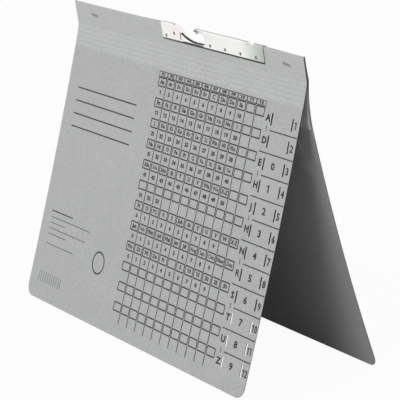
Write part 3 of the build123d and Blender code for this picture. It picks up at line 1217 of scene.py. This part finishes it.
own_stamps = {"1": one_stamp, "M": m_stamp}
print("outlines of their own:", *own_stamps)

# %% Stamps for letters and numerals
NARROW_GAPS = set("BQRegk")
NARROW_WEIGHT = 0.027
LETTER_GAP = 0.09
DIGIT_PITCH = 0.5
letter_stamps = {}


def font_stamp(text, size, squeeze, weight):
    """Plain letters, made bolder, but less so where their gaps are narrow."""
    curve = bpy.data.curves.new("letters", "FONT")
    curve.body = text
    curve.size = size
    curve.offset = min(weight, NARROW_WEIGHT * size) if NARROW_GAPS & set(text) else weight
    curve.align_x = "CENTER"
    curve.align_y = "CENTER"
    curve.resolution_u = 2
    holder = bpy.data.objects.new("letters", curve)
    mesh = bpy.data.meshes.new_from_object(holder)
    mesh.transform(Matrix.Scale(squeeze, 4, (1.0, 0.0, 0.0)))
    bpy.data.objects.remove(holder)
    return mesh


def letter_mesh(text, size, squeeze, weight):
    """The stamp of a text, made once for each size; weight makes the strokes bolder."""
    key = (text, size, squeeze, weight)
    if key not in letter_stamps:
        own = own_stamps.get(text)
        letter_stamps[key] = own(size, squeeze, weight) if own else font_stamp(*key)
    return letter_stamps[key]


def letters(text, across, drop, size, squeeze, weight):
    """Index letters, around their middle. A first letter M has a stamp of its own."""
    pieces = ["M", text[1:]] if text[0] == "M" and len(text) > 1 else [text]
    meshes = [letter_mesh(piece, size, squeeze, weight) for piece in pieces]
    sides = [[vert.co.x for vert in mesh.vertices] for mesh in meshes]
    widths = [max(side) - min(side) for side in sides]
    gap = LETTER_GAP * size * squeeze
    left = across - (sum(widths) + gap * (len(pieces) - 1)) / 2
    for mesh, width in zip(meshes, widths):
        stamp(mesh, left + width / 2, drop)
        left += width + gap


def numeral(text, across, drop, size, squeeze, weight):
    """Digits side by side, around their middle."""
    for index, digit in enumerate(text):
        place = across + (index - (len(text) - 1) / 2) * DIGIT_PITCH * size * squeeze
        stamp(letter_mesh(digit, size, squeeze, weight), place, drop)


print("stamps: letters and numerals")

# %% What the table says
box_rows = [row.split() for row in (
    "Aa Ar Ba Be Bo Br C Da Do Ea",
    "En Fa Fi Ga Go Gr Ha He Ho I",
    "J Ka Ki Ko Kr La Li Ma Mi Mo",
    "Na Ni O Pa Pi Q Ra Ri Sa Se",
    "Scha Sche Scho St T U V Wa We X-Z",
    "",
    "N O PQ R S Sch St T U V W X-Z",
    "Jan Febr März April Mai Juni Juli Aug Sept Okt Nov Dez",
)]
box_rows += [["Mo", "Di", "Mi", "Do", "Fr", "", "5", "10", "15", "20", "25", "30"], [], [], []]
number_rows = [[str(number) for number in range(row * 10 + 1, row * 10 + 11)] for row in range(5)]
number_rows += [["51", "52", "53"]]
number_rows += [[str(digit) for digit in range(10)]] * 3 + [[], [], []]
print("rows in the table:", len(box_rows))

# %% The table of boxes
COLUMNS = 12
GRID_LEFT = -27.4
GRID_PITCH = 11.95
GRID_TOP = 41.6
ROW_PITCH = 15.7
GRID_LINE = 0.95
HEAD_HEIGHT = 4.2
HEAD_DROP = GRID_TOP - 2.3
HEAD_LINE = GRID_LINE * 0.6
HEAD_TYPE = (2.8, 2.0, 0.16)
BOX_WIDTH = 11.3
BOX_HEIGHT = 7.3
BOX_ROUND = 0.9
BOX_TYPE_SIZE = 4.2
BOX_TYPE_WEIGHT = 0.2
WIDEST_TYPE = 1.15
WORD_ROOM = 3.4
NUMBER_DROP = BOX_HEIGHT + 4.2
NUMBER_TYPE = (4.0, 1.2, 0.24)

box_mesh = box_stamp(BOX_WIDTH, BOX_HEIGHT, BOX_ROUND, GRID_LINE)
head_mesh = box_stamp(GRID_PITCH, HEAD_HEIGHT, 0.0, HEAD_LINE)
column_middles = [GRID_LEFT + (column + 0.5) * GRID_PITCH for column in range(COLUMNS)]
for number, middle in enumerate(column_middles, start=1):
    stamp(head_mesh, middle, HEAD_DROP)
    numeral(f"{number:02}", middle, HEAD_DROP, *HEAD_TYPE)
for row, (marks, numbers) in enumerate(zip(box_rows, number_rows)):
    top = GRID_TOP + row * ROW_PITCH
    for middle in column_middles:
        stamp(box_mesh, middle, top + BOX_HEIGHT / 2)
    for middle, text in zip(column_middles, marks):
        if text:
            draw = numeral if text.isdigit() else letters
            squeeze = min(WIDEST_TYPE, WORD_ROOM / len(text))
            draw(text, middle, top + BOX_HEIGHT / 2, BOX_TYPE_SIZE, squeeze, BOX_TYPE_WEIGHT)
    for middle, text in zip(column_middles, numbers):
        numeral(text, middle, top + NUMBER_DROP, *NUMBER_TYPE)
    for column in range(1, COLUMNS):
        tick(GRID_LEFT + column * GRID_PITCH, top + BOX_HEIGHT, top + ROW_PITCH, GRID_LINE)
print("boxes:", COLUMNS * len(box_rows))

# %% Marks at the slits
SLIT_LETTERS = "ADEHJMNRSTUZ"
LETTER_X = 121.3
LETTER_RAISE = 0.2
LETTER_TYPE = (6.6, 1.2, 0.29)
DIGIT_X = 137.4
DIGIT_TYPE = (7.0, 1.25, 0.24)
FIRST_DIGIT_ROW = 2
TAB_NUMBER_DROP = 0.3
TAB_NUMBER_X = {1: 154.8, 2: 155.0}
TAB_NUMBER_TYPES = {1: (7.0, 1.05, 0.26), 2: (7.0, 0.92, 0.28)}
PAIR_RULE_LEFT = 125.5
LONG_RULE_LEFT = 117.6
RULE_RIGHT = WIDTH / 2 - 0.3
RULE_LINE = 0.8
PAIR_TICK = (-2.6, 1.8)
PAIR_TICK_LINE = 0.7

for row, top in enumerate(slit_tops):
    middle = top + SLIT_LENGTH / 2
    letters(SLIT_LETTERS[row], LETTER_X, middle - LETTER_RAISE, *LETTER_TYPE)
    if row >= FIRST_DIGIT_ROW:
        numeral(str(row - FIRST_DIGIT_ROW), DIGIT_X, middle, *DIGIT_TYPE)
    number = str(row + 1)
    digits = len(number)
    lower = middle + TAB_NUMBER_DROP
    numeral(number, TAB_NUMBER_X[digits], lower, *TAB_NUMBER_TYPES[digits])
    if row < SLIT_ROWS - 1:
        drop = top + SLIT_LENGTH + (SLIT_PITCH - SLIT_LENGTH) / 2
        in_pair = row % 2 == 0
        rule(PAIR_RULE_LEFT if in_pair else LONG_RULE_LEFT, RULE_RIGHT, drop, RULE_LINE)
        if in_pair:
            tick(LETTER_X, drop + PAIR_TICK[0], drop + PAIR_TICK[1], PAIR_TICK_LINE)
print("slit rows marked:", SLIT_ROWS)

# %% Rules to write on, and plain marks at the lower left
WRITING_DROPS = (67.7, 78.0, 88.3, 98.5)
WRITING_SIDES = (-142.3, -51.6)
WRITING_LINE = 1.0
HEADING_RULE = (-146.0, -112.0, 168.5, 0.9)
NOTE_LEFT = -145.0
NOTE_RULES = ((173.5, 62.0), (178.0, 24.0), (182.5, 58.0), (187.0, 28.0), (195.0, 44.0))
NOTE_LINE = 0.5
NOTE_TICKS = 11
NOTE_TICK_PITCH = 3.4
NOTE_TICK = (217.5, 226.0)
RING_PLACE = (-61.3, 193.0)
RING_RADIUS = 9.0
RING_LINE = 1.2
RING_SEGMENTS = 48

for drop in WRITING_DROPS:
    rule(*WRITING_SIDES, drop, WRITING_LINE)
rule(*HEADING_RULE)
for drop, length in NOTE_RULES:
    rule(NOTE_LEFT, NOTE_LEFT + length, drop, NOTE_LINE)
for index in range(NOTE_TICKS):
    tick(NOTE_LEFT + index * NOTE_TICK_PITCH, *NOTE_TICK, NOTE_LINE)
bm = bmesh.new()
bmesh.ops.create_circle(bm, cap_ends=True, radius=RING_RADIUS, segments=RING_SEGMENTS)
stamp(rim_stamp(bm, RING_LINE, "ring"), *RING_PLACE)

lay_on_front(print_bm)
front_print = finish_piece("front_print", print_bm, ink_and_shade)
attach(front_print, "front")

# %% [markdown]
# ## The studio
#
# The photo was taken on plain white. A pale floor catches a faint shadow.
# Two wide soft lights stand in front, to the left and to the right, so the front is lit evenly
# and the inside gets lighter only towards its open end. A third one lights the back cover,
# and a dim even sky fills the rest. What the camera and the steel see behind is white.

# %% The floor
FLOOR_HALF = 6.0
FLOOR_GREY = (0.55, 0.55, 0.55, 1.0)
FLOOR_WHITE = 0.96
WHITE = (1.0, 1.0, 1.0, 1.0)


def seen_directly(wire):
    """1 for what the camera, a reflection or a clear piece shows, 0 for light on surfaces."""
    rays = ("Is Camera Ray", "Is Glossy Ray", "Is Transmission Ray")
    paths = [wire.node("ShaderNodeLightPath", output=ray) for ray in rays]
    return wire.math("MAXIMUM", wire.math("MAXIMUM", paths[0], paths[1]), paths[2])


bm = bmesh.new()
bmesh.ops.create_grid(bm, x_segments=1, y_segments=1, size=FLOOR_HALF)
floor = new_object("floor", free_to_mesh(bm, "floor"))
floor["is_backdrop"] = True

floor_paint, floor_shader, wire = new_material("white floor")
floor.data.materials.append(floor_paint)
feed(floor_shader, Base_Color=FLOOR_GREY, Roughness=0.9)
plain = Wire(floor_paint.node_tree, floor_shader.outputs[0])
white = wire.node("ShaderNodeEmission", values={"Color": WHITE, "Strength": 1.0})
whiteness = seen_directly(wire) * FLOOR_WHITE
shown = wire.node("ShaderNodeMixShader", values={0: whiteness, 1: plain, 2: white})
wire.put(floor_paint.node_tree.nodes["Material Output"], "Surface", shown)
print("a white floor")

# %% Sky and light
SKY = 0.32
AIM = Vector((0.0, 0.0, 0.12))

world = bpy.data.worlds.new("studio")
bpy.context.scene.world = world
world.use_nodes = True
sky = Wire(world.node_tree)
background = world.node_tree.nodes["Background"]
sky.put(background, "Color", WHITE)
sky.put(background, "Strength", SKY + seen_directly(sky) * (1.0 - SKY))


def soft_light(name, place, size, power):
    lamp = bpy.data.lights.new(name, "AREA")
    lamp.shape = "DISK"
    lamp.size = size
    lamp.energy = power
    holder = new_object(name, lamp)
    holder.location = place
    holder.rotation_euler = (Vector(place) - AIM).to_track_quat("Z", "Y").to_euler()
    holder.visible_glossy = False


soft_light("left light", (-4.2, -6.0, 1.15), 1.8, 226.0)
soft_light("right light", (1.45, -3.7, 3.1), 2.3, 82.0)
soft_light("back light", (-1.5, 5.5, 2.4), 2.3, 150.0)
print("three soft lights and a dim sky")

# %% The camera
AZIMUTH = math.radians(58.405)
ELEVATION = math.radians(14.504)
ROLL = math.radians(-1.768)
CAMERA_PLACE = Vector((1314.231, -797.082, 497.728)) * MM

camera_data = bpy.data.cameras.new("camera")
camera_data.sensor_width = 36.0
camera_data.lens = 191.05
camera_data.clip_end = 50.0
camera = new_object("camera", camera_data)
back = Vector((
    math.sin(AZIMUTH) * math.cos(ELEVATION),
    -math.cos(AZIMUTH) * math.cos(ELEVATION),
    math.sin(ELEVATION),
))
level_x = Vector((0.0, 0.0, 1.0)).cross(back).normalized()
level_y = back.cross(level_x)
right = level_x * math.cos(ROLL) + level_y * math.sin(ROLL)
upward = level_y * math.cos(ROLL) - level_x * math.sin(ROLL)
camera.matrix_world = Matrix((right, upward, back)).transposed().to_4x4()
camera.location = CAMERA_PLACE
bpy.context.scene.camera = camera
bpy.context.scene.view_settings.view_transform = "Standard"
print("camera at", [round(c, 3) for c in camera.location])

# %% Sizes with the looks on, and the end
low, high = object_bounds()
print("visual box in mm:", [round(side / MM, 1) for side in high - low])
